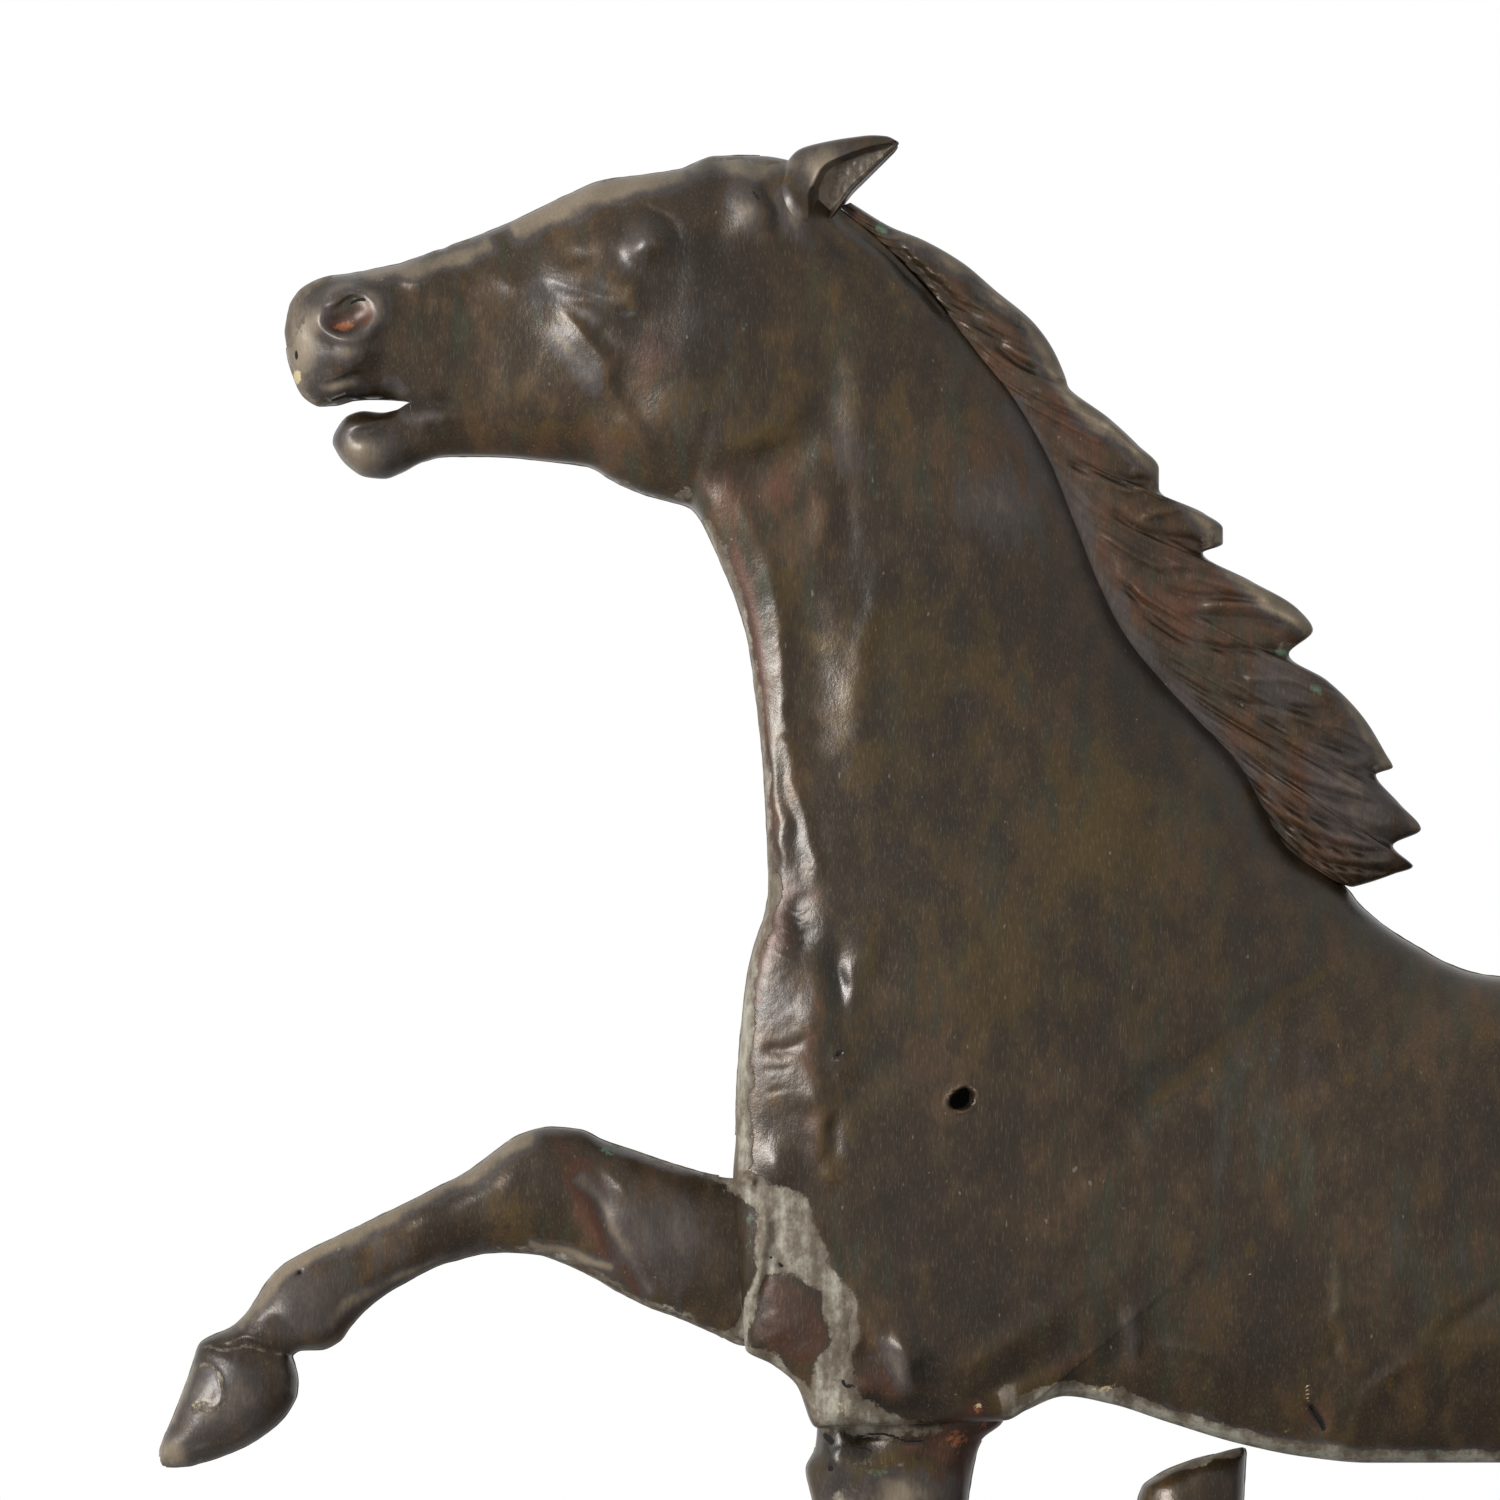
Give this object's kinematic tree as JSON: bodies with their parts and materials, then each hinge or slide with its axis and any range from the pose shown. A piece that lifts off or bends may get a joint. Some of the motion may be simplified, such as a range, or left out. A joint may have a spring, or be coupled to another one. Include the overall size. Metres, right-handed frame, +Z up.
{
  "type": "horse weathervane",
  "caption": "Running horse weathervane in hollow sheet copper with one fore leg raised and one folded, turning on an upright iron spindle with a round roof foot.",
  "frame": {"origin": "centre of the underside of the spindle's roof flange, on the turning axis", "axes": "+Z up along the spindle, -X the way the horse faces at rest, -Y the horse's left side"},
  "size_m": [0.7872, 0.09, 0.7234],
  "materials": {
    "aged_copper": "brown-black weathered copper with verdigris and solder in its seams",
    "bare_copper": "reddish worn copper sheet with solder round it",
    "cast_brass": "dull cast brass",
    "dark_iron": "dark weathered iron",
    "polished_steel": "polished"
  },
  "bodies": {
    "spindle": {"spindle_rod": "dark_iron", "thrust_ball": "polished_steel", "roof_flange": "dark_iron", "flange_set_screw": "dark_iron"},
    "figure": {"spindle_tube": "cast_brass", "bearing_cap": "cast_brass", "lower_bushing": "cast_brass", "upper_brace": "cast_brass", "lower_brace": "cast_brass", "body_shell_left": "aged_copper", "body_shell_right": "aged_copper", "mane_left": "aged_copper", "mane_right": "aged_copper", "ear_left": "aged_copper", "ear_right": "aged_copper", "tail_left": "aged_copper", "tail_right": "aged_copper", "left_foreleg_outer_half": "aged_copper", "left_foreleg_inner_half": "aged_copper", "right_foreleg_outer_half": "aged_copper", "right_foreleg_inner_half": "aged_copper", "right_hind_leg_outer_half": "aged_copper", "right_hind_leg_inner_half": "aged_copper", "left_hind_leg_outer_half": "aged_copper", "left_hind_leg_inner_half": "aged_copper", "shoulder_patch": "bare_copper"}
  },
  "joints": [
    {"name": "figure_spin", "type": "hinge", "parent": "spindle", "child": "figure", "pos_m": [0, 0, 0], "axis": [0, 0, 1], "continuous": true}
  ]
}
